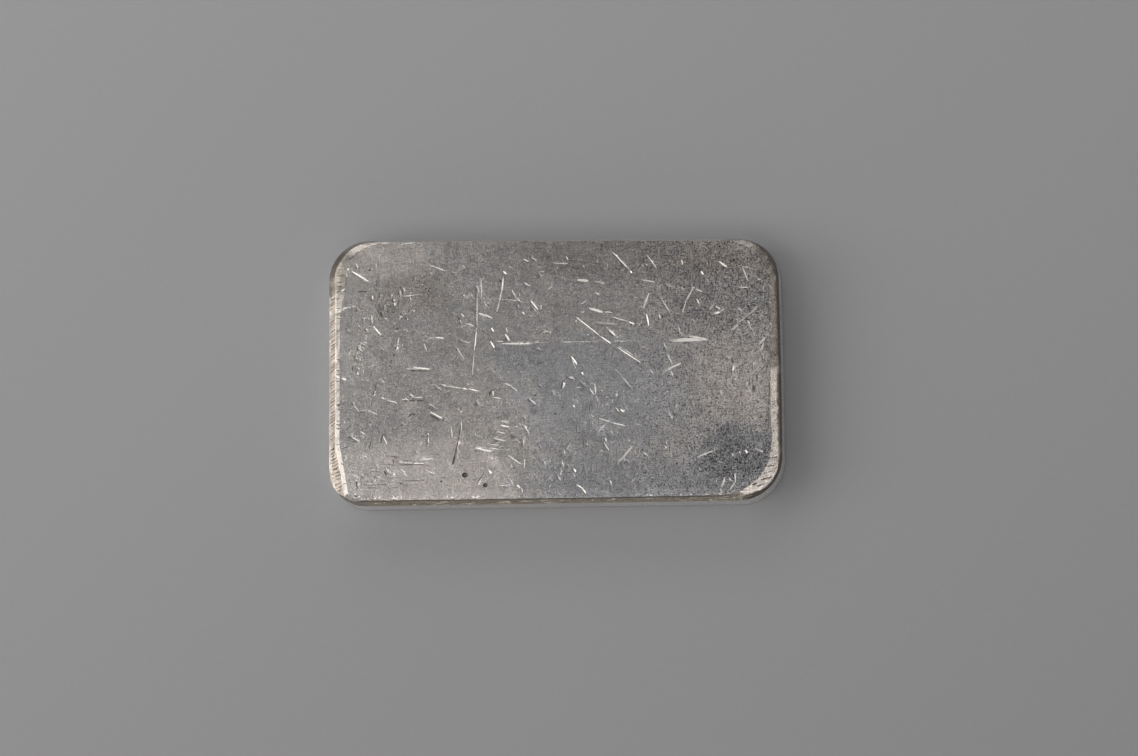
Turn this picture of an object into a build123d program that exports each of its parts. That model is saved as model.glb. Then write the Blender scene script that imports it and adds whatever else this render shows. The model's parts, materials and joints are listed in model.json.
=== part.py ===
from build123d import *

import os

# A small silver bar, cast and pressed in one piece, lying on its underside. Millimetres.
# X runs along the bar, +Y is its far side, +Z is up through the worn top face.
# The origin is on the underside, at the middle of the outline.

# overall sizes, to the sharp corners of the outline
length = 50.0
width = 29.35
thickness = 6.67

# the bar is not quite square: it narrows towards its right end, and that end is shorter at the far side
front_taper = 0.4
far_taper = 0.2
right_end_lean = 0.5

# how far the middle of each side stands out from its chord
left_bow = 0.03
front_bow = 0.06
right_bow = 0.12
far_bow = 0.05

# rounding of the four corners round the wall, blunter where the bar has been knocked
front_left_radius = 4.1
front_right_radius = 4.9
far_right_radius = 4.4
far_left_radius = 4.5

# rounding of the same corners along the crest between the two facets
front_left_crest_radius = 2.7
front_right_crest_radius = 4.6
far_right_crest_radius = 4.4
far_left_crest_radius = 4.3

# rounding of the same corners where the top face begins
front_left_face_radius = 3.2
front_right_face_radius = 5.9
far_right_face_radius = 4.9
far_left_face_radius = 5.4

# the filed edge has two facets: a steep one up from the wall, then a flatter one to the top face
steep_drop = 0.6
flat_drop = 0.25

# widths of the two facets on each side, seen from above
left_steep_facet = 0.74
left_flat_facet = 0.52
front_steep_facet = 0.44
front_flat_facet = 0.10
right_steep_facet = 0.24
right_flat_facet = 0.9
far_steep_facet = 0.12
far_flat_facet = 0.1

# both facets were filed again at the front left corner, on a slant that starts this far back along the
# left side and ends this far further in at the front
slant_back = 6.6
slant_in = 1.2

# at the far left corner only the flatter facet was filed again, longer and at a lower angle
far_slant_back = 8.8
far_slant_in = 1.6
far_slant_run = 1.1

# which way the left side is followed
to_the_front = -1
to_the_far_side = 1

# broken edge round the underside
foot_bevel = 0.2
foot_height = 0.22


def corners(insets):
    # the four corners of the outline, front left first and anticlockwise, each moved in from its two sides
    left, front, right, far = insets
    half_length = length / 2
    half_width = width / 2
    return [
        Vector(left - half_length, front - half_width),
        Vector(half_length - right, front_taper + front - half_width),
        Vector(half_length - right_end_lean - right, half_width - far_taper - far),
        Vector(left - half_length, half_width - far),
    ]


def bowed_side(start, end, bow):
    # a shallow arc from corner to corner, bulging away from the middle of the bar
    along = (end - start).normalized()
    outward = Vector(along.Y, -along.X)
    return Edge.make_three_point_arc(start, (start + end) / 2 + outward * bow, end)


def outline(height, insets, radii):
    # one level of the bar: four bowed sides with a radius of its own at each corner
    points = corners(insets)
    bows = [front_bow, right_bow, far_bow, left_bow]
    sides = [
        bowed_side(point, points[(index + 1) % len(points)], bow)
        for index, (point, bow) in enumerate(zip(points, bows))
    ]
    loop = Wire(sides)
    for point, radius in zip(points, radii):
        loop = loop.fillet_2d(radius, [loop.vertices().sort_by_distance(point)[0]])
    return Pos(0, 0, height) * Face(loop)


def file_slant(bar, way, back, inward, edge_inset, edge_height, drop, run):
    # takes a slanting plane off a left corner: its upper edge leaves the line edge_inset in from the left
    # side at edge_height, and the plane falls away outwards by drop over run
    start = Vector(edge_inset - length / 2, way * (width / 2 - back), edge_height)
    along = Vector(inward, way * back, 0)
    outward = Vector(-back, way * inward, 0).normalized()
    plane = Plane(origin=start, x_dir=along, z_dir=outward * drop + Vector(0, 0, run))
    return split(bar, bisect_by=plane, keep=Keep.BOTTOM)


def silver_bar():
    # the bar is ruled from level to level, so that every facet between two outlines is a clean filed plane
    no_insets = [0, 0, 0, 0]
    wall_radii = [front_left_radius, front_right_radius, far_right_radius, far_left_radius]
    face_radii = [
        front_left_face_radius,
        front_right_face_radius,
        far_right_face_radius,
        far_left_face_radius,
    ]
    crest_radii = [
        front_left_crest_radius,
        front_right_crest_radius,
        far_right_crest_radius,
        far_left_crest_radius,
    ]

    steep_facets = [left_steep_facet, front_steep_facet, right_steep_facet, far_steep_facet]
    flat_facets = [left_flat_facet, front_flat_facet, right_flat_facet, far_flat_facet]
    face_insets = [steep + flat for steep, flat in zip(steep_facets, flat_facets)]

    crest_height = thickness - flat_drop
    wall_height = crest_height - steep_drop
    levels = [
        outline(0, [foot_bevel] * len(no_insets), [radius - foot_bevel for radius in wall_radii]),
        outline(foot_height, no_insets, wall_radii),
        outline(wall_height, no_insets, wall_radii),
        outline(crest_height, steep_facets, crest_radii),
        outline(thickness, face_insets, face_radii),
    ]
    bar = Solid.make_loft([level.outer_wire() for level in levels], ruled=True)

    face_inset = left_steep_facet + left_flat_facet
    near_slant = [to_the_front, slant_back, slant_in]
    far_slant = [to_the_far_side, far_slant_back, far_slant_in]
    bar = file_slant(bar, *near_slant, left_steep_facet, crest_height, steep_drop, left_steep_facet)
    bar = file_slant(bar, *near_slant, face_inset, thickness, flat_drop, left_flat_facet)
    bar = file_slant(bar, *far_slant, face_inset, thickness, flat_drop, far_slant_run)

    # the taper and the bows put the outline off centre by a hair, so it is brought back over the origin
    box = bar.bounding_box()
    return Pos(-box.center().X, -box.center().Y, -box.min.Z) * bar


os.makedirs("parts", exist_ok=True)
export_step(silver_bar(), "parts/silver_bar.step")
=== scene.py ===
import json
import math
import random

import bpy
from mathutils import Matrix, Vector
from mathutils.bvhtree import BVHTree

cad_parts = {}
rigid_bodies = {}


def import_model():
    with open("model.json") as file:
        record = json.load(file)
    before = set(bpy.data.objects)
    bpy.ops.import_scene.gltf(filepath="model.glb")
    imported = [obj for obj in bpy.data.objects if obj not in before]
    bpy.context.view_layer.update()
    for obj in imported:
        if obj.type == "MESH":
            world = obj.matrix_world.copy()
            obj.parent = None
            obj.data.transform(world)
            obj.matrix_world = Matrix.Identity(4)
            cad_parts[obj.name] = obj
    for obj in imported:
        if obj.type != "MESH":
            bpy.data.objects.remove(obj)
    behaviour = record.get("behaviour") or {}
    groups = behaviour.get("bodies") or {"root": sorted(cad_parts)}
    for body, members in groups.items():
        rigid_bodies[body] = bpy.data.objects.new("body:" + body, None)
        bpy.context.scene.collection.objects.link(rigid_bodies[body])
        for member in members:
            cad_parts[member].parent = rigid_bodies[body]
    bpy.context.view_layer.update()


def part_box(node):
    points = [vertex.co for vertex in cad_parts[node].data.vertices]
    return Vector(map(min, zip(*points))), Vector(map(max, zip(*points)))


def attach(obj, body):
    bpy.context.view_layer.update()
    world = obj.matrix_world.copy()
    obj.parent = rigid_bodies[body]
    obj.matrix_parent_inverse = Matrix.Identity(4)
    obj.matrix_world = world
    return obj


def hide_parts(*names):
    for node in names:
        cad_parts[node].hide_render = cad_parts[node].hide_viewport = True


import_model()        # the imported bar, in metres, on its flat underside
boxLow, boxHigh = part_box("silver_bar")
topHeight = boxHigh.z
print("frame loaded, top face at", round(topHeight * 1000, 2), "mm")


# camera, set first because the marks on the bar are placed where the photo shows them
photoView = {
    "width": 1138,             # pixels
    "height": 756,
    "barMiddle": (554.4, 371.2),   # pixel of the middle of the top face
    "pixelsPerMetre": 9100.0,
    "distance": 0.9,
    "leanRight": 4.5,          # degrees off straight down, towards the right end
    "leanFront": 5.4,          # and towards the front side
    "roll": -0.06,
    "sensor": 36.0,            # millimetres
}


def cameraAxes():
    # right, up and back of the camera in the bar's frame
    slopeRight = math.tan(math.radians(photoView["leanRight"]))
    slopeFront = math.tan(math.radians(photoView["leanFront"]))
    back = Vector((slopeRight, -slopeFront, 1.0)).normalized()
    right = Vector((0.0, 1.0, 0.0)).cross(back).normalized()
    roll = Matrix.Rotation(math.radians(photoView["roll"]), 3, back)
    right = roll @ right
    return right, back.cross(right), back


def cameraPlace():
    # the middle of the top face lands on its pixel without any lens shift
    right, up, back = cameraAxes()
    aside = (photoView["width"] / 2 - photoView["barMiddle"][0]) / photoView["pixelsPerMetre"]
    below = (photoView["height"] / 2 - photoView["barMiddle"][1]) / photoView["pixelsPerMetre"]
    return Vector((0.0, 0.0, topHeight)) + back * photoView["distance"] + right * aside - up * below


def addCamera():
    right, up, back = cameraAxes()
    frameWidth = photoView["width"] / photoView["pixelsPerMetre"]
    data = bpy.data.cameras.new("bar_camera")
    data.sensor_width = photoView["sensor"]
    data.lens = photoView["sensor"] * photoView["distance"] / frameWidth
    data.clip_end = 10.0
    camera = bpy.data.objects.new("bar_camera", data)
    bpy.context.scene.collection.objects.link(camera)
    turn = Matrix((right, up, back)).transposed()
    camera.matrix_world = Matrix.Translation(cameraPlace()) @ turn.to_4x4()
    bpy.context.scene.camera = camera


def photoRay(pixel):
    # direction from the camera through one pixel of the photo
    right, up, back = cameraAxes()
    across = (pixel[0] - photoView["width"] / 2) / photoView["pixelsPerMetre"]
    down = (pixel[1] - photoView["height"] / 2) / photoView["pixelsPerMetre"]
    return (right * across - up * down - back * photoView["distance"]).normalized()


def photoPoint(pixel):
    # the point of the top face under one pixel of the photo
    ray = photoRay(pixel)
    place = cameraPlace()
    return place + ray * ((topHeight - place.z) / ray.z)


addCamera()
print("camera set")


# shader nodes
def plug(tree, socket, value):
    # joins a wire, or sets a number, a colour of three numbers or a vector
    if isinstance(value, Wire):
        tree.links.new(value.socket, socket)
    elif isinstance(value, tuple):
        socket.default_value = (*value, 1.0)[:len(socket.default_value)]
    else:
        socket.default_value = value


class Wire:
    # one output of a shader node, worked with like a number
    def __init__(self, tree, socket):
        self.tree = tree
        self.socket = socket

    def maths(self, operation, first, second=0.0):
        node = self.tree.nodes.new("ShaderNodeMath")
        node.operation = operation
        plug(self.tree, node.inputs[0], first)
        plug(self.tree, node.inputs[1], second)
        return Wire(self.tree, node.outputs[0])

    def __add__(self, other):
        return self.maths("ADD", self, other)

    def __radd__(self, other):
        return self.maths("ADD", other, self)

    def __sub__(self, other):
        return self.maths("SUBTRACT", self, other)

    def __rsub__(self, other):
        return self.maths("SUBTRACT", other, self)

    def __mul__(self, other):
        return self.maths("MULTIPLY", self, other)

    def __rmul__(self, other):
        return self.maths("MULTIPLY", other, self)

    def __truediv__(self, other):
        return self.maths("DIVIDE", self, other)

    def larger(self, other):
        return self.maths("MAXIMUM", self, other)

    def rise(self, start, end):
        # 0 below start, 1 above end, smooth between
        node = self.tree.nodes.new("ShaderNodeMapRange")
        node.interpolation_type = "SMOOTHSTEP"
        plug(self.tree, node.inputs["Value"], self)
        plug(self.tree, node.inputs["From Min"], start)
        plug(self.tree, node.inputs["From Max"], end)
        return Wire(self.tree, node.outputs["Result"])


class Finish:
    # one material and the short ways of adding nodes to it
    def __init__(self, name):
        self.material = bpy.data.materials.new(name)
        self.material.use_nodes = True
        self.tree = self.material.node_tree
        self.tree.nodes.clear()
        self.place = self.node("ShaderNodeTexCoord", output="Object")

    def node(self, kind, settings=None, inputs=None, output=0):
        made = self.tree.nodes.new(kind)
        for key, value in (settings or {}).items():
            setattr(made, key, value)
        for key, value in (inputs or {}).items():
            plug(self.tree, made.inputs[key], value)
        return Wire(self.tree, made.outputs[output]) if made.outputs else None

    def axes(self):
        split = self.node("ShaderNodeSeparateXYZ", inputs={"Vector": self.place})
        outputs = split.socket.node.outputs
        return [Wire(self.tree, output) for output in outputs]

    def blotches(self, size, detail=2.0, rough=0.5, seed=0.0):
        # noise whose blotches have a given length, breadth and height in metres
        spot = self.node(
            "ShaderNodeMapping",
            {"vector_type": "TEXTURE"},
            {"Vector": self.place, "Location": (seed, seed, seed), "Scale": size},
        )
        return self.node(
            "ShaderNodeTexNoise",
            inputs={"Vector": spot, "Scale": 1.0, "Detail": detail, "Roughness": rough},
        )

    def mixColour(self, factor, first, second):
        return self.node("ShaderNodeMix", {"data_type": "RGBA"}, {0: factor, 6: first, 7: second}, output=2)

    def scaleColour(self, colour, factor):
        return self.node("ShaderNodeVectorMath", {"operation": "SCALE"}, {"Vector": colour, "Scale": factor})

    def surface(self, colour, rough, metallic, height=None, bumpDepth=0.0):
        inputs = {"Base Color": colour, "Roughness": rough, "Metallic": metallic}
        if height is not None:
            inputs["Normal"] = self.node(
                "ShaderNodeBump", inputs={"Height": height, "Strength": 1.0, "Distance": bumpDepth}
            )
        shader = self.node("ShaderNodeBsdfPrincipled", inputs=inputs)
        self.node("ShaderNodeOutputMaterial", inputs={"Surface": shader})
        return self.material


# floor
floorLook = {
    "size": 1.6,
    "colour": (0.275, 0.276, 0.287),
    "rough": 0.85,
    "paintedFalloff": (-0.6, 1.3),     # painted light falloff: change of tone per metre to the right and to the far side, darker towards the front right
    "grain": (0.0006, 0.0006, 0.0006),
    "darkest": 0.97,
    "grainTone": 0.06,
}


def addFloor():
    bpy.ops.object.select_all(action="DESELECT")
    bpy.ops.mesh.primitive_plane_add(size=floorLook["size"])
    floor = bpy.context.active_object
    floor.name = "floor"
    finish = Finish("pale_floor")
    grain = finish.blotches(floorLook["grain"], detail=3.0)
    x, y, z = finish.axes()
    paintedFalloff = x * floorLook["paintedFalloff"][0] + y * floorLook["paintedFalloff"][1]
    tone = paintedFalloff + floorLook["darkest"] + grain * floorLook["grainTone"]
    colour = finish.scaleColour(floorLook["colour"], tone)
    floor.data.materials.append(finish.surface(colour, floorLook["rough"], 0.0))


addFloor()
print("floor laid")


# lights: a large soft panel at the left, a weaker one low beside it, one above the front, a weak warm one at
# the right, a broad one behind, and a room that is dimmest overhead
studio = {
    "key": {"place": (-0.50, -0.03, 0.58), "size": (0.55, 0.60), "power": 2.6, "colour": (1.0, 0.985, 0.96)},
    "low": {"place": (-0.70, -0.06, 0.16), "size": (0.35, 0.40), "power": 0.55, "colour": (1.0, 0.97, 0.93)},
    "high": {"place": (-0.06, -0.24, 0.70), "size": (0.40, 0.26), "power": 0.8, "colour": (1.0, 0.99, 0.98)},
    "side": {"place": (0.34, -0.02, 0.62), "size": (0.25, 0.30), "power": 0.28, "colour": (1.0, 0.94, 0.90)},
    "back": {"place": (-0.20, 0.50, 0.50), "size": (0.6, 0.4), "power": 1.0, "colour": (1.0, 0.99, 0.98)},
}
roomLight = {
    "above": 0.08,
    "horizon": 0.46,
    "front": 0.66,
    "frontBand": (0.1, 0.7),       # share of forward in a direction where the front light sets in and is full
    "aboveBand": (0.55, 0.95),     # and share of upward where the room turns dim
    "colour": (1.0, 0.99, 0.985),
}


def addPanel(name, look):
    data = bpy.data.lights.new(name, "AREA")
    data.shape = "RECTANGLE"
    data.size, data.size_y = look["size"]
    data.energy = look["power"]
    data.color = look["colour"]
    panel = bpy.data.objects.new(name, data)
    bpy.context.scene.collection.objects.link(panel)
    place = Vector(look["place"])
    panel.matrix_world = Matrix.Translation(place) @ place.to_track_quat("Z", "Y").to_matrix().to_4x4()


def addRoom():
    # the room is palest towards the front and dimmest straight above
    world = bpy.data.worlds.new("studio_room")
    bpy.context.scene.world = world
    world.use_nodes = True
    tree = world.node_tree
    tree.nodes.clear()
    direction = tree.nodes.new("ShaderNodeTexCoord").outputs["Generated"]
    split = tree.nodes.new("ShaderNodeSeparateXYZ")
    tree.links.new(direction, split.inputs[0])
    forward = Wire(tree, split.outputs[1])
    upward = Wire(tree, split.outputs[2])
    frontMask = (0.0 - forward).rise(*roomLight["frontBand"])
    aboveMask = upward.rise(*roomLight["aboveBand"])
    horizon = roomLight["horizon"] + frontMask * (roomLight["front"] - roomLight["horizon"])
    strength = horizon + aboveMask * (roomLight["above"] - horizon)
    background = tree.nodes.new("ShaderNodeBackground")
    plug(tree, background.inputs["Color"], roomLight["colour"])
    plug(tree, background.inputs["Strength"], strength)
    output = tree.nodes.new("ShaderNodeOutputWorld")
    tree.links.new(background.outputs[0], output.inputs["Surface"])


addRoom()
for panelName, panelLook in studio.items():
    addPanel(panelName + "_panel", panelLook)
bpy.context.scene.view_settings.view_transform = "Standard"
print("lights placed")


# the bar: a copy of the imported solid, softened along its edges and cut fine enough to dent
barShape = {
    "mergeWithin": 0.000001,   # metres
    "flatAngle": 0.4,          # degrees up to which neighbouring faces are one face
    "sharpAngle": 12.0,        # and from which an edge is softened
    "edgeRound": 0.00002,
    "roundSegments": 2,
    "smoothAngle": 10.0,
    "gridStep": 0.00036,
    "wallCuts": 12,
    "cloudDetail": 2,
    "cloudContrast": 1.8,
    "cloudLevel": 1.25,        # above 1, so that a cloud only ever sinks the surface
    "waveDepth": 0.00003,
    "waveSize": 0.0028,
    "edgeDepth": 0.00007,
    "edgeSize": 0.0007,
    "edgeBand": 0.0010,        # how far below the top face the edges are uneven
    "levelFrom": 0.985,        # upward share of the normal from which a spot counts as level
    "uprightTo": 0.05,         # and up to which it counts as a wall
}


def selectOnly(piece):
    bpy.ops.object.select_all(action="DESELECT")
    piece.select_set(True)
    bpy.context.view_layer.objects.active = piece


def copyOfNode(nodeName, pieceName):
    selectOnly(bpy.data.objects[nodeName])
    bpy.ops.object.duplicate()
    piece = bpy.context.active_object
    bpy.ops.object.parent_clear(type="CLEAR_KEEP_TRANSFORM")
    piece.name = pieceName
    piece.data.name = pieceName
    piece.data.materials.clear()
    return piece


def sliceAcross(axis, low, high, step):
    count = round((high - low) / step)
    normal = Vector((0.0, 0.0, 0.0))
    normal[axis] = 1.0
    for index in range(1, count):
        place = normal * (low + (high - low) * index / count)
        bpy.ops.mesh.select_all(action="SELECT")
        bpy.ops.mesh.bisect(plane_co=place, plane_no=normal)


def sinkBy(piece, members, name, size, depth, direction):
    # presses some of the vertices inwards by a cloudy amount, never outwards
    piece.vertex_groups.new(name=name).add(members, 1.0, "REPLACE")
    clouds = bpy.data.textures.new(name, "CLOUDS")
    clouds.noise_scale = size
    clouds.noise_depth = barShape["cloudDetail"]
    clouds.contrast = barShape["cloudContrast"]
    sink = piece.modifiers.new(name, "DISPLACE")
    sink.texture = clouds
    sink.texture_coords = "LOCAL"
    sink.direction = direction
    sink.mid_level = barShape["cloudLevel"]
    sink.strength = depth
    sink.vertex_group = name
    bpy.ops.object.modifier_apply(modifier=name)


def shapeBar():
    piece = copyOfNode("silver_bar", "worn_silver_bar")
    bpy.ops.object.mode_set(mode="EDIT")
    bpy.ops.mesh.select_all(action="SELECT")
    bpy.ops.mesh.remove_doubles(threshold=barShape["mergeWithin"])
    bpy.ops.mesh.dissolve_limited(angle_limit=math.radians(barShape["flatAngle"]))
    bpy.ops.mesh.select_all(action="DESELECT")
    bpy.ops.mesh.edges_select_sharp(sharpness=math.radians(barShape["sharpAngle"]))
    bpy.ops.mesh.bevel(offset=barShape["edgeRound"], segments=barShape["roundSegments"], affect="EDGES")
    sliceAcross(0, boxLow.x, boxHigh.x, barShape["gridStep"])
    sliceAcross(1, boxLow.y, boxHigh.y, barShape["gridStep"])
    sliceAcross(2, boxLow.z, boxHigh.z, (boxHigh.z - boxLow.z) / barShape["wallCuts"])
    bpy.ops.mesh.select_all(action="SELECT")
    bpy.ops.mesh.remove_doubles(threshold=barShape["mergeWithin"])
    bpy.ops.object.mode_set(mode="OBJECT")

    # the top face and the filed edges sink straight down, the filed edges once more by themselves, and the
    # walls and the underside sink along their normals
    upper = []
    filed = []
    walls = []
    for vertex in piece.data.vertices:
        if vertex.co.z > topHeight - barShape["edgeBand"]:
            upper.append(vertex.index)
            if vertex.normal.z < barShape["levelFrom"]:
                filed.append(vertex.index)
        elif abs(vertex.normal.z) < barShape["uprightTo"] or vertex.normal.z < -barShape["levelFrom"]:
            walls.append(vertex.index)
    sinkBy(piece, filed, "edge_clouds", barShape["edgeSize"], barShape["edgeDepth"], "Z")
    sinkBy(piece, upper, "face_clouds", barShape["waveSize"], barShape["waveDepth"], "Z")
    sinkBy(piece, walls, "wall_clouds", barShape["waveSize"], barShape["waveDepth"], "NORMAL")
    return piece


bar = shapeBar()
print("bar shaped,", len(bar.data.polygons), "faces")


# silver finish
silverLook = {
    "cool": (0.318, 0.318, 0.330),
    "warm": (0.360, 0.335, 0.315),
    "tone": 1.25,
    "warmth": 0.5,
    "rough": 0.30,
    "bump": 0.000008,
    "patchBorder": (1.3, 0.5),         # where a patch ends and where it is full, as shares of its reach
    "boxBorder": 0.0006,               # metres over which a stretch fades out
    "flat": (0.000045, 0.00008),       # metres below the top face where the flat facet starts
    "steep": (0.00024, 0.00032),
    "wall": (0.00096, 0.00108),
    "under": (0.97, 0.98),             # shares of the thickness below which the underside starts
    "slantFrom": (300, 452),           # stretch where the slanting facet runs further down the wall, pixels
    "slantTo": (358, 560),
    "slantDeeper": 0.0011,
    "knockFrom": (757, 466),           # stretch where the painted highlight of the knocked corner reaches further down, pixels
    "knockTo": (778, 490),
    "knockDeeper": 0.00026,
    "wallColour": (0.99, 0.95, 0.89),
    "underColour": (0.62, 0.60, 0.575),
}

# grain of the top face: blotch sizes in metres, then how strongly each kind counts
grainLook = {
    "border": (0.0022, 0.0022, 0.0022),
    "speck": (0.00010, 0.00010, 0.00010),
    "along": (0.0006, 0.00009, 0.0004),
    "across": (0.00009, 0.0005, 0.0004),
    "mottle": (0.0009, 0.0009, 0.0009),
    "zone": (0.0050, 0.0035, 0.004),
    "darkSpeck": (0.00020, 0.00028, 0.0002),
    "coarse": 0.6,                     # roughness of the noise of the borders and the specks
    "zoneBand": (0.46, 0.60),
    "darkSpeckBand": (0.34, 0.24),
    "borderShare": 2.4,
    "speckShare": 3.2,
    "alongShare": 0.9,
    "lowest": -0.5,                    # no grain is darker than this
    "leftShare": 0.56,
    "sandyShare": 0.34,                # added where the grain is sandy
    "sandyTone": 0.20,
    "sandyStray": 0.002,
    "sandyFrom": (590, 400),           # the grain grows sandy between these two pixels
    "sandyTo": (730, 400),
    "tone": 1.1,
    "mottleTone": 0.35,
    "darkSpeckTone": 0.10,
    "borderWarmth": 0.15,
    "mottleWarmth": 1.2,
    "patchStray": 0.35,
    "edgeTone": 0.8,
    "rough": 0.08,
}

# painted reflection and shade patches of the top face, with tarnish tints: lighter or darker where the uneven
# face mirrors brighter or dimmer parts of the room, warm or bluish where it is tarnished: middle and reach in
# pixels of the photo
reflectionPatches = {
    "paleNearLeft": {"middle": (412, 480), "reach": (125, 40), "tone": 0.46, "warmth": 0.4},
    "paleFarLeft": {"middle": (385, 257), "reach": (52, 24), "tone": 0.34, "warmth": 0.4},
    "paleLeft": {"middle": (352, 345), "reach": (24, 75), "tone": 0.14, "warmth": 0.1},
    "paleMiddle": {"middle": (498, 415), "reach": (60, 48), "tone": 0.13, "warmth": 0.2},
    "paleRight": {"middle": (733, 378), "reach": (40, 42), "tone": 0.14, "warmth": 0.4},
    "dimFar": {"middle": (625, 256), "reach": (135, 26), "tone": -0.25, "warmth": 0.1},
    "dimFarRight": {"middle": (722, 292), "reach": (62, 42), "tone": -0.20, "warmth": 0.0},
    "dimCorner": {"middle": (738, 456), "reach": (44, 32), "tone": -0.40, "warmth": -0.8},
    "dimNear": {"middle": (625, 482), "reach": (112, 26), "tone": -0.13, "warmth": -0.5},
    "brownLeft": {"middle": (412, 292), "reach": (40, 24), "tone": -0.15, "warmth": 0.4},
    "brownFarRight": {"middle": (722, 256), "reach": (48, 16), "tone": 0.05, "warmth": 0.6},
    "blueMiddle": {"middle": (590, 395), "reach": (95, 62), "tone": 0.06, "warmth": -0.5},
    "blueLeft": {"middle": (520, 358), "reach": (34, 16), "tone": -0.10, "warmth": -0.4},
    "paleRim": {"middle": (560, 497), "reach": (215, 8), "tone": 0.22, "warmth": 0.1},
    "paleRightEnd": {"middle": (757, 395), "reach": (14, 60), "tone": 0.12, "warmth": 0.2},
    "lozenge": {"middle": (493.5, 461.5), "reach": (6, 5), "tone": 0.30, "warmth": 0.2},
    "blotMiddle": {"middle": (533.5, 407), "reach": (4, 9), "tone": -0.28, "warmth": -0.1},
    "blotRight": {"middle": (682, 357), "reach": (11, 8), "tone": -0.14, "warmth": 0.0},
}

# painted light and shade of the filed edges: each stretch of the photo gets its own flat and steep colour,
# lighter where that facet mirrors a lamp and darker where it faces away from the lamps, a later one over an
# earlier one
bevelLightAndShade = {
    "far": {
        "from": (300, 200), "to": (820, 256),
        "flat": (0.86, 0.81, 0.745), "steep": (0.80, 0.74, 0.66),
    },
    "front": {
        "from": (300, 486), "to": (820, 560),
        "flat": (0.25, 0.222, 0.19), "steep": (0.50, 0.44, 0.36),
    },
    "leftFar": {
        "from": (300, 200), "to": (376, 300),
        "flat": (0.46, 0.43, 0.40), "steep": (0.44, 0.40, 0.355),
    },
    "leftTurn": {
        "from": (300, 254), "to": (356, 300),
        "flat": (0.155, 0.145, 0.133), "steep": (0.27, 0.243, 0.213),
    },
    "leftMiddle": {
        "from": (300, 296), "to": (350, 418),
        "flat": (0.27, 0.255, 0.237), "steep": (0.50, 0.45, 0.392),
    },
    "leftNear": {
        "from": (300, 412), "to": (350, 560),
        "flat": (0.355, 0.337, 0.318), "steep": (0.49, 0.432, 0.376),
    },
    "leftCorner": {
        "from": (300, 450), "to": (362, 560),
        "flat": (0.39, 0.373, 0.353), "steep": (0.47, 0.415, 0.362),
    },
    "farCorner": {
        "from": (728, 200), "to": (820, 262),
        "flat": (0.50, 0.468, 0.43), "steep": (0.46, 0.425, 0.38),
    },
    "rightFar": {
        "from": (756, 200), "to": (820, 372),
        "flat": (0.34, 0.312, 0.284), "steep": (0.18, 0.16, 0.138),
    },
    "rightNear": {
        "from": (748, 368), "to": (820, 560),
        "flat": (0.80, 0.735, 0.68), "steep": (0.19, 0.165, 0.14),
    },
    "rightCorner": {
        "from": (744, 450), "to": (820, 560),
        "flat": (0.80, 0.725, 0.67), "steep": (0.18, 0.155, 0.13),
    },
}


def patchMask(x, y, wobble, middle, reach):
    # 1 inside an uneven oval, 0 outside
    centre = photoPoint(middle)
    across = (x - centre.x) / (reach[0] / photoView["pixelsPerMetre"])
    along = (y - centre.y) / (reach[1] / photoView["pixelsPerMetre"])
    squares = across * across + along * along
    distance = squares.maths("SQRT", squares)
    return (distance + wobble).rise(*silverLook["patchBorder"])


def between(value, low, high, border):
    return value.rise(low - border, low + border) * value.rise(high + border, high - border)


def boxMask(x, y, first, last, wobble):
    # 1 inside the stretch between two pixels, with a soft and uneven border
    start = photoPoint(first)
    end = photoPoint(last)
    border = silverLook["boxBorder"]
    inX = between(x + wobble * border, start.x, end.x, border)
    inY = between(y + wobble * border, end.y, start.y, border)
    return inX * inY


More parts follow.
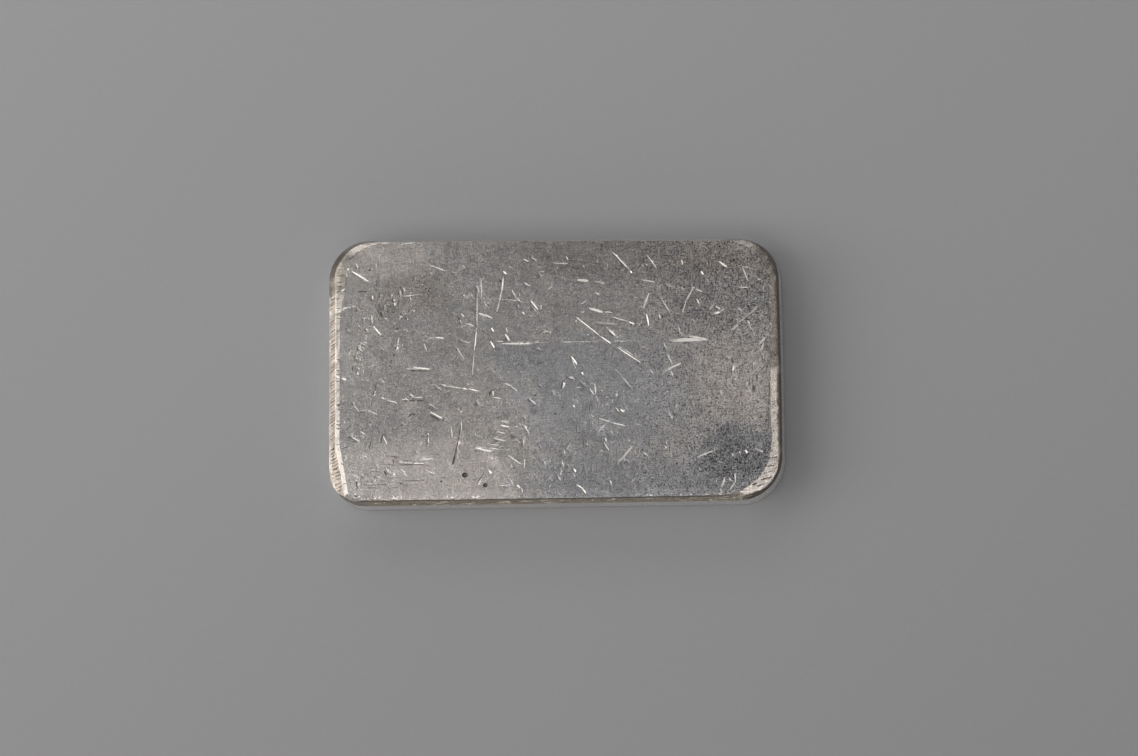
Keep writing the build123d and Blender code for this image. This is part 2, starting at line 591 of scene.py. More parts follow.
def silverFinish():
    finish = Finish("worn_silver")
    x, y, z = finish.axes()
    depth = topHeight - z
    coarse = grainLook["coarse"]
    wobble = (finish.blotches(grainLook["border"], detail=4.0, rough=coarse) - 0.5) * grainLook["borderShare"]

    # grain: fine specks, a faint straight weave of rubbing, soft mottling and dark specks in places
    specks = finish.blotches(grainLook["speck"], detail=1.0, rough=coarse) - 0.5
    weaveAlong = finish.blotches(grainLook["along"], detail=1.0) - 0.5
    weaveAcross = finish.blotches(grainLook["across"], detail=1.0, seed=0.3) - 0.5
    mottle = finish.blotches(grainLook["mottle"], detail=1.0, seed=0.5) - 0.5
    zone = finish.blotches(grainLook["zone"], detail=1.0, seed=0.7).rise(*grainLook["zoneBand"])
    darkSpecks = finish.blotches(grainLook["darkSpeck"], detail=1.0, seed=0.9)
    darkSpecks = darkSpecks.rise(*grainLook["darkSpeckBand"]) * zone
    sandyFrom = photoPoint(grainLook["sandyFrom"]).x
    sandyTo = photoPoint(grainLook["sandyTo"]).x
    sandy = (x + wobble * grainLook["sandyStray"]).rise(sandyFrom, sandyTo)
    grain = specks * grainLook["speckShare"] + weaveAlong * grainLook["alongShare"] + weaveAcross
    grain = grain.larger(grainLook["lowest"]) * (grainLook["leftShare"] + sandy * grainLook["sandyShare"])

    tone = silverLook["tone"] - sandy * grainLook["sandyTone"] + grain * grainLook["tone"]
    tone = tone + mottle * grainLook["mottleTone"] - darkSpecks * grainLook["darkSpeckTone"]
    warmth = silverLook["warmth"] + wobble * grainLook["borderWarmth"] + mottle * grainLook["mottleWarmth"]
    # painted reflection and shade: each patch lightens or darkens the face and tints it
    for patch in reflectionPatches.values():
        mask = patchMask(x, y, wobble * grainLook["patchStray"], patch["middle"], patch["reach"])
        tone = tone + mask * patch["tone"]
        warmth = warmth + mask * patch["warmth"]
    colour = finish.mixColour(warmth, silverLook["cool"], silverLook["warm"])

    # the filed edges, the walls and the underside are toned by how far they lie below the top face
    flat = depth.rise(*silverLook["flat"])
    knock = boxMask(x, y, silverLook["knockFrom"], silverLook["knockTo"], wobble)
    steep = (depth - knock * silverLook["knockDeeper"]).rise(*silverLook["steep"])
    slant = boxMask(x, y, silverLook["slantFrom"], silverLook["slantTo"], 0.0)
    wall = (depth - slant * silverLook["slantDeeper"]).rise(*silverLook["wall"])
    under = depth.rise(*(topHeight * share for share in silverLook["under"]))
    tone = tone + flat * (1.0 + grain * grainLook["edgeTone"] - tone)
    # painted light and shade of the filed edges, stretch by stretch
    for look in bevelLightAndShade.values():
        mask = boxMask(x, y, look["from"], look["to"], wobble)
        colour = finish.mixColour(mask * flat, colour, look["flat"])
        colour = finish.mixColour(mask * steep, colour, look["steep"])
    colour = finish.mixColour(wall, colour, silverLook["wallColour"])
    colour = finish.mixColour(under, colour, silverLook["underColour"])
    rough = silverLook["rough"] + grain * grainLook["rough"]
    return finish.surface(finish.scaleColour(colour, tone), rough, 1.0, grain, silverLook["bump"])


def plainFinish(name, colour, rough, metallic):
    # one colour with fine specks in it
    finish = Finish(name)
    specks = finish.blotches(plainLook["speck"], detail=2.0)
    tone = plainLook["darkest"] + specks * plainLook["speckTone"]
    return finish.surface(finish.scaleColour(colour, tone), rough, metallic)


# finishes of the cuts
plainLook = {
    "speck": (0.0002, 0.0002, 0.0002),
    "darkest": 0.75,
    "speckTone": 0.5,
}
bar.data.materials.append(silverFinish())
freshSilver = plainFinish("fresh_silver", (0.61, 0.586, 0.55), 0.38, 1.0)
# painted highlight: a bright silver for the knocked corner's facets, where they catch the light
highlightSilver = plainFinish("painted_highlight_silver", (0.97, 0.91, 0.86), 0.34, 1.0)
dulledSilver = plainFinish("dulled_silver", (0.54, 0.522, 0.495), 0.42, 1.0)
rubbedSilver = plainFinish("rubbed_silver", (0.41, 0.40, 0.387), 0.34, 1.0)
brownedSilver = plainFinish("browned_silver", (0.185, 0.152, 0.124), 0.5, 1.0)
# dirt and painted shade: a dark finish for dirt in scores, pits and worn cuts, and for shade painted into
# creases and beside bright cuts
dirtAndShade = plainFinish("dirt_and_painted_shade", (0.15, 0.132, 0.112), 0.6, 0.5)
print("silver finished")


# cuts: one blade and one ball, copied to every mark and taken out of the bar together
cutShape = {
    "keelShift": 0.24,         # share of the width by which the keel sits off the middle
    "light": (-0.8, -0.6, 0.0),    # the side that the wide slope of a bright cut faces
    "cut": 0.17,               # depths, as shares of the width
    "soft": 0.12,
    "stroke": 0.42,            # deep enough to show on an uneven edge
    "rub": 0.07,
    "graze": 0.08,
    "knock": 0.17,
    "score": 0.30,
    "pit": 0.50,
    "narrow": 0.86,            # the photo blurs a mark wider than it is
    "reach": 0.05,             # metres outside the bar from which a side is looked at
}
cutGroup = bpy.data.collections.new("cuts")
bpy.context.scene.collection.children.link(cutGroup)


def addCutter(name, segments, rings):
    bpy.ops.object.select_all(action="DESELECT")
    bpy.ops.mesh.primitive_uv_sphere_add(
        segments=segments, ring_count=rings, radius=0.5, rotation=(0.0, math.pi / 2, 0.0)
    )
    bpy.ops.object.transform_apply(location=True, rotation=True, scale=True)
    cutter = bpy.context.active_object
    cutter.name = name
    return cutter


blade = addCutter("cut_blade", segments=4, rings=6)
ball = addCutter("cut_ball", segments=10, rings=6)
corners = [vertex.co.copy() for vertex in bar.data.vertices]
skin = BVHTree.FromPolygons(corners, [tuple(face.vertices) for face in bar.data.polygons])


def placeCut(cutter, start, end, normal, width, depth, keelShift, finish):
    # the cutter's length runs from start to end, its keel lies below the surface and off to one side
    along = end - start
    across = normal.cross(along).normalized()
    light = Vector(cutShape["light"])
    toLight = across if across.dot(light) > 0.0 else -across
    keel = normal * (2 * depth) - toLight * (2 * keelShift * width)
    turn = Matrix((along, across * width, keel)).transposed()
    mesh = cutter.data.copy()
    mesh.transform(Matrix.Translation((start + end) / 2) @ turn.to_4x4())
    mesh.materials.append(finish)
    cutGroup.objects.link(bpy.data.objects.new(cutter.name, mesh))


def seenSpot(pixel):
    # place and normal of the bar under one pixel of the photo
    place, normal, face, far = skin.ray_cast(cameraPlace(), photoRay(pixel))
    return (place, normal) if place else (photoPoint(pixel), Vector((0.0, 0.0, 1.0)))


def seenCut(start, end, width, depthShare, keelShare=1.0, finish=None, cutter=None):
    # a mark read off the photo, its ends and width in pixels
    startPlace, startNormal = seenSpot(start)
    endPlace, endNormal = seenSpot(end)
    middle = ((start[0] + end[0]) / 2, (start[1] + end[1]) / 2)
    normal = seenSpot(middle)[1]
    along = endPlace - startPlace
    normal = (normal - along * (normal.dot(along) / along.length_squared)).normalized()
    metres = width * cutShape["narrow"] / photoView["pixelsPerMetre"]
    placeCut(
        cutter or blade, startPlace, endPlace, normal, metres, metres * depthShare,
        cutShape["keelShift"] * keelShare, finish or freshSilver,
    )


# marks of the far left part of the top face: start pixel, end pixel, width in pixels
cuts = {
    "farLeftGash": ((351.5, 271.2), (368.0, 281.5), 2.6),
    "farLeftGashTop": ((346.5, 268.6), (350.5, 270.8), 2.2),
    "farLeftSlash": ((429.0, 265.0), (445.5, 271.0), 1.8),
    "farLeftNick": ((341.0, 291.5), (345.0, 289.0), 2.0),
    "farLeftDrop": ((356.2, 263.5), (357.5, 267.5), 1.8),
    "farLeftFleck": ((346.3, 274.0), (347.5, 277.5), 1.6),
    "farLeftHook": ((341.6, 310.4), (346.5, 307.5), 2.4),
    "farLeftHookTop": ((337.4, 312.6), (340.6, 311.0), 2.2),
    "farLeftHookTail": ((345.5, 307.6), (356.0, 306.6), 1.1),
    "farLeftFork": ((340.0, 315.0), (344.5, 319.5), 1.3),
    "farLeftStub": ((371.5, 315.0), (372.2, 323.5), 1.6),
    "farLeftDart": ((373.0, 326.0), (380.5, 335.0), 2.0),
    "farLeftLevel": ((402.0, 296.5), (424.0, 294.0), 1.4),
    "farLeftTickA": ((403.5, 288.0), (405.0, 291.8), 1.8),
    "farLeftTickB": ((400.5, 290.5), (401.0, 297.0), 1.2),
    "zigA": ((462.5, 295.0), (468.0, 298.0), 1.6),
    "zigB": ((468.0, 297.5), (470.0, 293.5), 1.5),
    "zigC": ((470.5, 294.0), (473.5, 298.5), 1.5),
    "starDrop": ((461.0, 313.5), (464.0, 317.0), 1.9),
    "starTail": ((459.0, 318.0), (461.5, 324.5), 1.4),
    "starSide": ((466.0, 323.5), (474.5, 326.0), 1.6),
    "longUprightTop": ((476.3, 285.5), (478.8, 292.0), 2.0),
    "longUprightA": ((477.2, 292.0), (476.8, 330.0), 1.4),
    "longUprightB": ((476.6, 328.0), (474.3, 351.0), 1.6),
    "longUprightC": ((474.4, 350.0), (472.0, 376.0), 1.2),
    "secondUpright": ((480.8, 279.0), (481.6, 297.0), 1.4),
    "dotAboveLean": ((503.0, 271.3), (506.5, 274.2), 2.2),
    "leanA": ((503.2, 277.0), (501.8, 291.0), 1.9),
    "leanB": ((501.9, 289.0), (498.8, 304.0), 1.5),
    "leanC": ((498.9, 303.0), (496.5, 312.5), 1.2),
    "longLevel": ((480.0, 298.0), (519.0, 300.7), 1.2),
    "elbowA": ((511.8, 289.5), (515.3, 298.0), 1.3),
    "elbowB": ((515.0, 297.3), (521.0, 302.3), 1.2),
    "shortA": ((523.8, 282.3), (529.8, 286.2), 1.6),
    "shortB": ((523.0, 258.8), (528.5, 261.6), 1.6),
    "shortC": ((531.8, 258.0), (536.2, 260.6), 1.5),
    "needleA": ((530.0, 300.5), (538.3, 310.0), 2.0),
    "needleB": ((530.3, 304.5), (535.5, 311.5), 1.0),
    "needleC": ((541.2, 304.5), (540.8, 309.5), 1.3),
    "dashA": ((484.0, 301.5), (486.2, 306.5), 1.5),
    "dashB": ((484.5, 314.5), (492.0, 318.3), 2.0),
    "dashC": ((521.8, 311.5), (524.5, 314.5), 2.2),
    "dashD": ((490.8, 327.8), (493.8, 331.8), 2.2),
    "dashE": ((505.0, 334.0), (509.8, 341.5), 2.6),
    "dashF": ((506.3, 327.5), (507.0, 332.5), 1.2),
    "dashG": ((490.2, 341.0), (494.5, 348.5), 2.2),
    "dashH": ((544.0, 330.8), (551.0, 332.8), 1.6),
    "levelLineA": ((494.0, 340.8), (503.5, 341.6), 1.2),
    "levelLineB": ((500.5, 343.8), (531.5, 343.4), 1.5),
    "levelLineC": ((530.0, 343.0), (602.0, 341.2), 0.8),
    "levelLineD": ((600.0, 341.2), (671.0, 340.0), 0.8),
    "hairA": ((552.5, 263.0), (568.0, 263.6), 1.0),
    "hairB": ((566.0, 256.0), (568.0, 260.0), 1.4),
    "flickA": ((595.5, 292.8), (599.0, 294.8), 1.7),
    "flickB": ((581.0, 312.5), (584.5, 311.8), 1.6),
    "flickC": ((580.0, 304.3), (586.5, 300.8), 1.2),
    "flickD": ((604.0, 311.8), (612.5, 312.7), 1.1),
    "tailA": ((612.0, 316.8), (629.0, 321.8), 1.3),
    "tailB": ((628.5, 321.7), (634.5, 324.2), 2.2),
    "rakeA": ((575.5, 316.5), (600.0, 336.0), 1.6),
    "rakeB": ((600.5, 336.5), (611.0, 343.5), 2.1),
    "rakeC": ((617.0, 347.2), (641.0, 362.8), 1.7),
    "besideRake": ((608.5, 329.5), (616.0, 336.5), 2.2),
    "farDiagonal": ((612.3, 251.8), (630.0, 270.5), 1.6),
    "farDiagonalEnd": ((629.8, 270.8), (632.0, 273.3), 2.4),
    "farUpright": ((597.0, 259.5), (597.2, 263.5), 1.2),
    "farSlant": ((646.3, 254.5), (657.3, 269.0), 1.5),
    "farSpeck": ((681.4, 259.5), (682.6, 265.0), 2.0),
    "farRightDash": ((718.3, 261.3), (727.3, 267.3), 2.0),
    "farRightDot": ((700.8, 271.0), (703.3, 274.8), 2.2),
    "farRightDotB": ((706.8, 278.5), (708.8, 283.5), 1.6),
    "farRightHair": ((641.0, 279.5), (655.0, 282.2), 1.4),
    "rightSlant": ((653.5, 284.5), (672.3, 317.5), 1.4),
    "rightSlantB": ((656.5, 291.5), (665.0, 305.0), 1.1),
    "curlA": ((693.5, 287.0), (685.8, 301.0), 1.7),
    "curlB": ((691.0, 287.6), (695.0, 287.8), 1.6),
    "curlC": ((696.0, 289.3), (702.5, 291.8), 1.5),
    "curlD": ((686.3, 299.5), (682.3, 313.5), 1.5),
    "curlDrop": ((696.5, 298.5), (699.3, 304.5), 2.0),
    "stroke": ((646.3, 313.5), (648.7, 326.0), 2.4),
    "strokeDot": ((658.8, 314.5), (660.3, 318.5), 2.0),
    "leafA": ((713.5, 313.5), (720.0, 312.2), 3.0),
    "leafB": ((719.0, 312.3), (724.5, 308.5), 1.6),
    "leafC": ((715.5, 305.8), (720.5, 309.5), 1.6),
    "leafD": ((708.8, 309.3), (713.5, 305.2), 1.6),
    "smallStub": ((678.8, 326.5), (680.3, 335.0), 1.3),
    "rightDash": ((736.5, 306.3), (742.5, 311.5), 1.2),
    "fanA": ((730.5, 330.5), (738.5, 324.5), 2.0),
    "fanB": ((737.0, 323.5), (750.5, 312.8), 1.4),
    "fanC": ((749.0, 314.0), (758.5, 305.5), 1.4),
    "fanDrop": ((747.5, 320.5), (750.0, 324.5), 2.2),
    "fanTail": ((747.3, 323.3), (754.5, 332.5), 1.0),
    "rightBright": ((764.5, 338.5), (771.5, 327.5), 2.8),
    "rightBrightEnd": ((758.5, 344.5), (765.8, 337.2), 2.2),
    "rightBrightTail": ((763.2, 343.5), (761.3, 351.0), 1.6),
    "edgeDotA": ((770.3, 322.5), (771.3, 325.8), 2.0),
    "edgeDotB": ((766.5, 301.5), (771.5, 302.8), 2.2),
    "edgeDotC": ((757.0, 279.0), (760.5, 279.6), 1.8),
    "edgeDotD": ((765.5, 278.0), (769.0, 278.2), 2.0),
    "edgeDotE": ((763.7, 267.0), (768.3, 274.5), 2.0),
    "edgeDotF": ((763.0, 287.0), (763.6, 291.5), 1.6),
    "edgeDotG": ((767.5, 283.5), (772.5, 288.5), 2.4),
    "arrowStem": ((742.3, 266.5), (748.2, 281.5), 1.4),
    "arrowHead": ((741.0, 266.2), (751.5, 268.3), 1.1),
    "arrowFoot": ((738.5, 287.3), (748.5, 287.3), 1.6),
    "lensTail": ((663.8, 342.5), (666.8, 350.5), 1.4),
    "lensTailB": ((667.0, 353.0), (672.5, 365.5), 1.3),
    "crossA": ((661.0, 374.8), (669.5, 368.3), 1.6),
    "crossB": ((667.5, 369.5), (681.3, 363.0), 2.0),
    "crossC": ((670.8, 370.8), (673.3, 376.8), 1.5),
    "crossD": ((648.3, 368.8), (653.5, 373.5), 1.4),
    "lowTick": ((719.8, 390.5), (722.3, 395.5), 1.7),
    "lowDot": ((747.2, 381.5), (746.5, 385.5), 2.0),
    "leftLevelA": ((427.5, 338.2), (435.0, 337.8), 1.1),
    "leftLevelB": ((434.8, 337.5), (444.5, 338.2), 2.0),
    "leftFaintA": ((461.3, 340.8), (469.0, 343.2), 1.6),
    "leftFaintB": ((456.0, 346.8), (464.5, 360.0), 1.2),
    "leftFaintC": ((424.2, 343.5), (426.6, 351.5), 1.2),
    "laneTop": ((399.0, 337.5), (397.2, 346.0), 1.6),
    "laneDot": ((394.5, 331.3), (397.3, 331.0), 1.6),
    "brightLevel": ((413.0, 367.8), (430.3, 369.2), 2.6),
    "brightLevelTail": ((406.5, 369.3), (414.5, 368.0), 1.3),
    "rightLevelA": ((440.5, 384.0), (446.5, 386.2), 1.5),
    "rightLevelB": ((445.5, 386.0), (463.0, 388.2), 1.3),
    "rightLevelC": ((462.0, 388.3), (466.5, 389.2), 2.2),
    "rightLevelD": ((468.5, 388.8), (478.5, 391.2), 1.9),
    "dartA": ((434.8, 384.8), (441.5, 390.5), 1.9),
    "dashI": ((408.8, 393.8), (414.3, 396.8), 1.5),
    "dashJ": ((400.5, 400.0), (404.5, 399.4), 1.5),
    "dashK": ((413.8, 397.7), (423.5, 397.5), 1.7),
    "dashL": ((381.0, 397.3), (385.0, 399.6), 1.7),
    "dashM": ((386.8, 400.3), (397.5, 402.8), 1.7),
    "hairC": ((353.0, 403.5), (359.0, 412.0), 1.2),
    "hairD": ((359.5, 411.0), (367.5, 410.5), 1.1),
    "hairE": ((367.0, 410.5), (378.5, 415.0), 1.1),
    "dashN": ((429.5, 403.8), (436.0, 409.0), 1.6),
    "dashO": ((429.8, 411.8), (442.5, 418.8), 2.0),
    "dashP": ((476.8, 400.3), (478.2, 404.5), 1.6),
    "leftWedge": ((341.4, 378.2), (346.0, 380.3), 2.6),
    "leftWedgeTop": ((335.4, 376.2), (340.4, 378.0), 3.2),
    "leftWedgeB": ((336.0, 391.0), (341.0, 393.0), 2.2),
    "uprightFleck": ((461.0, 420.5), (461.3, 431.5), 1.4),
    "scoreShine": ((458.2, 449.0), (457.0, 456.5), 1.8),
    "nearA": ((451.0, 426.5), (452.3, 437.5), 1.4),
    "nearB": ((382.8, 436.0), (387.0, 444.5), 2.2),
    "nearC": ((360.8, 431.8), (365.0, 434.5), 1.7),
    "nearD": ((350.0, 436.0), (359.5, 441.8), 2.2),
    "nearE": ((395.0, 461.8), (412.5, 463.2), 1.5),
    "nearF": ((419.5, 459.8), (433.5, 458.6), 2.4),
    "nearG": ((385.8, 468.8), (391.3, 475.3), 1.6),
    "nearH": ((400.8, 468.5), (407.0, 476.5), 1.8),
    "nearI": ((352.8, 474.8), (358.5, 477.8), 1.5),
    "nearJ": ((376.0, 475.5), (380.8, 478.8), 1.5),
    "nearK": ((358.0, 480.5), (358.8, 486.5), 1.2),
    "triangleA": ((362.0, 456.3), (367.3, 456.5), 1.3),
    "triangleB": ((361.3, 456.8), (364.3, 461.5), 1.1),
    "nearL": ((425.0, 469.8), (434.5, 474.8), 1.3),
    "nearDrop": ((488.3, 470.0), (491.3, 474.0), 3.2),
    "nearSlant": ((474.5, 447.8), (492.0, 452.0), 2.0),
    "stackA": ((500.0, 421.0), (508.5, 422.5), 1.5),
    "stackB": ((500.0, 425.3), (510.0, 427.2), 2.0),
    "stackC": ((496.0, 431.5), (505.5, 433.5), 1.5),
    "stackD": ((493.0, 438.3), (505.5, 441.0), 1.6),
    "stackE": ((489.5, 444.5), (500.5, 445.2), 1.3),
    "stackF": ((490.0, 448.0), (498.5, 449.5), 1.5),
    "stackG": ((523.5, 424.5), (528.5, 432.5), 1.5),
    "uprightA": ((523.7, 435.5), (523.4, 446.5), 1.5),
    "uprightB": ((524.3, 459.0), (524.5, 468.5), 1.5),
    "slantA": ((507.5, 454.8), (521.5, 464.8), 1.7),
    "slantB": ((509.8, 478.8), (513.3, 484.5), 1.2),
    "slantC": ((516.5, 484.8), (520.0, 487.8), 2.4),
    "slantD": ((521.3, 487.5), (522.6, 492.5), 1.6),
    "bowA": ((598.5, 418.0), (612.5, 423.0), 1.4),
    "bowB": ((611.5, 422.5), (625.5, 425.8), 1.9),
    "bowC": ((597.3, 432.8), (605.3, 424.8), 2.0),
    "lowA": ((603.8, 442.8), (609.0, 450.5), 1.7),
    "lowB": ((605.3, 437.5), (606.0, 441.8), 2.0),
    "lowCurve": ((576.5, 484.5), (583.0, 488.8), 2.0),
    "lowCurveEnd": ((581.8, 487.8), (585.8, 493.3), 2.4),
    "lowC": ((564.3, 451.3), (565.0, 455.5), 2.0),
    "lowD": ((562.3, 461.3), (563.2, 466.5), 2.2),
    "lowE": ((566.8, 449.5), (569.3, 444.5), 1.3),
    "lowF": ((562.3, 469.5), (560.0, 475.5), 1.3),
    "lowG": ((557.8, 475.5), (560.3, 480.5), 1.7),
    "lowH": ((573.8, 468.5), (575.8, 472.5), 2.5),
    "lowI": ((572.8, 472.8), (575.3, 476.5), 1.6),
    "lowJ": ((543.8, 462.0), (544.5, 465.0), 1.8),
    "lowK": ((610.0, 480.3), (611.3, 484.8), 2.2),
    "middleFlame": ((571.0, 356.3), (577.0, 364.5), 2.6),
    "middleFlameB": ((572.5, 359.5), (574.5, 367.5), 1.6),
    "middleDot": ((581.3, 372.3), (583.0, 374.3), 2.6),
    "middleSoft": ((553.0, 390.5), (553.5, 395.5), 1.8),
    "archA": ((504.5, 383.3), (511.5, 386.3), 1.5),
    "archB": ((510.5, 386.0), (517.5, 391.5), 1.3),
    "archC": ((528.3, 398.0), (536.5, 405.0), 1.5),
    "middleUpright": ((594.4, 383.5), (595.8, 394.5), 1.7),
    "middleUprightB": ((595.8, 396.0), (598.0, 401.5), 1.6),
    "middleHairA": ((579.8, 381.0), (586.5, 387.0), 1.1),
    "middleHairB": ((589.5, 388.5), (594.0, 395.0), 1.6),
    "middleHairC": ((615.3, 368.8), (632.5, 389.0), 1.2),
    "middleDotB": ((615.3, 393.5), (617.5, 396.3), 2.4),
    "middleDotC": ((600.5, 390.5), (602.8, 391.0), 1.7),
    "middleDotD": ((573.0, 405.0), (574.5, 407.5), 2.4),
    "middleDotE": ((616.0, 407.5), (618.3, 411.3), 1.7),
    "middleDotF": ((620.3, 408.8), (623.0, 411.8), 2.4),
    "tickShine": ((492.7, 390.8), (493.2, 395.5), 2.2),
    "tickFoot": ((492.8, 397.3), (501.5, 398.7), 1.6),
    "nearRightA": ((643.0, 451.5), (647.5, 456.0), 1.5),
    "nearRightB": ((745.2, 449.5), (747.3, 453.5), 2.4),
    "nearRightC": ((739.3, 451.0), (740.0, 453.5), 1.8),
    "nearRightD": ((732.3, 453.0), (733.5, 456.5), 2.0),
    "hookA": ((734.8, 472.5), (735.6, 482.5), 2.0),
    "hookB": ((735.6, 481.5), (729.3, 490.5), 1.8),
    "hookC": ((728.5, 477.5), (731.5, 481.0), 1.6),
    "nearRightE": ((719.8, 489.0), (722.3, 493.5), 1.6),
    "nearRightF": ((698.8, 467.5), (700.8, 470.5), 1.5),
    "nearRightG": ((665.3, 445.5), (666.3, 449.0), 1.7),
    "nearRightH": ((667.8, 410.8), (672.5, 419.0), 1.2),
    "nearRightI": ((676.5, 404.8), (676.7, 407.5), 1.5),
    "farLeftLevelB": ((408.0, 295.7), (411.4, 295.2), 1.7),
    "farLeftTickC": ((410.6, 297.2), (410.8, 300.4), 1.2),
    "farLeftTickD": ((399.4, 316.6), (401.8, 316.4), 1.7),
    "farLeftTickE": ((384.8, 318.6), (386.6, 318.8), 1.4),
    "ladderA": ((364.6, 335.4), (367.0, 338.0), 1.6),
    "ladderB": ((364.4, 338.4), (366.6, 340.2), 1.4),
    "ladderC": ((360.4, 342.2), (362.2, 344.2), 1.5),
    "ladderD": ((364.0, 341.8), (367.0, 343.4), 1.5),
    "ladderE": ((362.6, 343.8), (365.0, 345.0), 1.1),
    "ladderF": ((359.2, 345.0), (360.8, 347.6), 1.7),
    "ladderG": ((361.2, 346.8), (365.2, 348.6), 1.2),
    "ladderH": ((358.2, 347.6), (361.0, 349.8), 1.9),
    "ladderI": ((360.4, 349.8), (362.6, 351.4), 1.4),
    "ladderJ": ((358.4, 351.0), (356.8, 355.0), 1.1),
    "ladderK": ((355.6, 356.8), (357.4, 359.2), 1.5),
    "ladderL": ((359.4, 358.8), (361.0, 360.6), 1.4),
    "ladderM": ((354.2, 362.6), (355.4, 365.0), 1.2),
    "ladderN": ((358.4, 364.2), (359.8, 366.0), 1.3),
    "ladderO": ((356.2, 366.8), (359.8, 369.6), 1.8),
    "ladderP": ((362.8, 369.8), (363.4, 373.6), 1.2),
    "rakeD": ((619.0, 346.2), (642.0, 360.8), 1.0),
    "farRimLine": ((400.0, 244.6), (415.0, 242.6), 1.3),
    "bevelFleckA": ((776.0, 374.5), (781.0, 375.0), 3.0),
    "bevelFleckB": ((779.8, 418.0), (782.2, 418.0), 1.8),
}

# bright specks along the rim of the front and of the far side: pixels across, the pixel down of the first one,
# and how many pixels further down the rim lies for each pixel across
frontSpecks = (
    362.5, 368.0, 375.0, 379.0, 392.0, 396.5, 401.0, 416.0, 424.0, 432.0, 447.0, 452.0, 473.0, 476.5, 501.5,
    519.0, 647.0, 651.0, 681.0, 691.0, 706.0, 720.0,
)
rimSpecks = {
    "front": {"across": frontSpecks, "down": 498.9, "slope": -0.0135},
    "far": {"across": (482.0, 514.0, 532.0, 553.0), "down": 240.8, "slope": 0.0},
}
speckShape = {
    "half": (0.6, 1.8),        # pixels, as are the rest
    "stray": (-0.4, 0.4),
    "width": (0.8, 1.7),
}

# the marks among them that shine most
brightest = {
    "farLeftGash", "farLeftHook", "farLeftDart", "needleA", "dashD", "dashE", "dashG", "levelLineB", "tailB",
    "rakeA", "rakeB", "rakeC", "besideRake", "farDiagonal", "farDiagonalEnd", "farRightDash", "farRightDot",
    "dotAboveLean", "leanA", "stroke", "leafA", "rightBright", "rightBrightEnd", "brightLevel", "rightLevelC",
    "rightLevelD", "dashO", "leftWedge", "nearDrop", "nearSlant", "stackB", "lowCurve", "lowCurveEnd", "lowH",
    "middleFlame", "middleDot", "middleDotF", "crossB", "nearRightB", "slantC", "longUprightB", "leftLevelB",
}

# wide shallow rubs of the same kind
grazes = {
    "rubA": ((576.5, 280.0), (588.5, 280.8), 3.2),
    "rubB": ((593.5, 281.3), (604.5, 283.2), 2.8),
    "rubC": ((588.5, 308.3), (603.0, 312.3), 3.8),
    "rubD": ((595.5, 322.5), (615.5, 324.0), 3.0),
    "rubE": ((649.0, 292.5), (643.0, 309.0), 2.4),
    "rubF": ((617.0, 464.0), (632.5, 446.5), 2.8),
    "rubG": ((713.5, 450.7), (696.5, 457.3), 2.0),
    "rubH": ((754.5, 448.5), (763.5, 452.0), 3.0),
    "rubI": ((665.8, 284.0), (671.0, 287.0), 2.2),
    "rubJ": ((725.0, 477.0), (721.5, 488.0), 2.4),
    "lens": ((668.5, 340.5), (708.5, 339.0), 4.6),
    "lensCrown": ((688.0, 336.0), (707.5, 339.3), 2.2),
    "starSoft": ((478.0, 313.0), (487.0, 316.5), 2.4),
    "cornerPale": ((347.0, 455.0), (344.0, 462.0), 2.6),
    "bevelPatchA": ((772.3, 402.5), (776.2, 402.5), 4.4),
    "bevelPatchB": ((772.3, 412.5), (778.0, 412.5), 4.0),
}
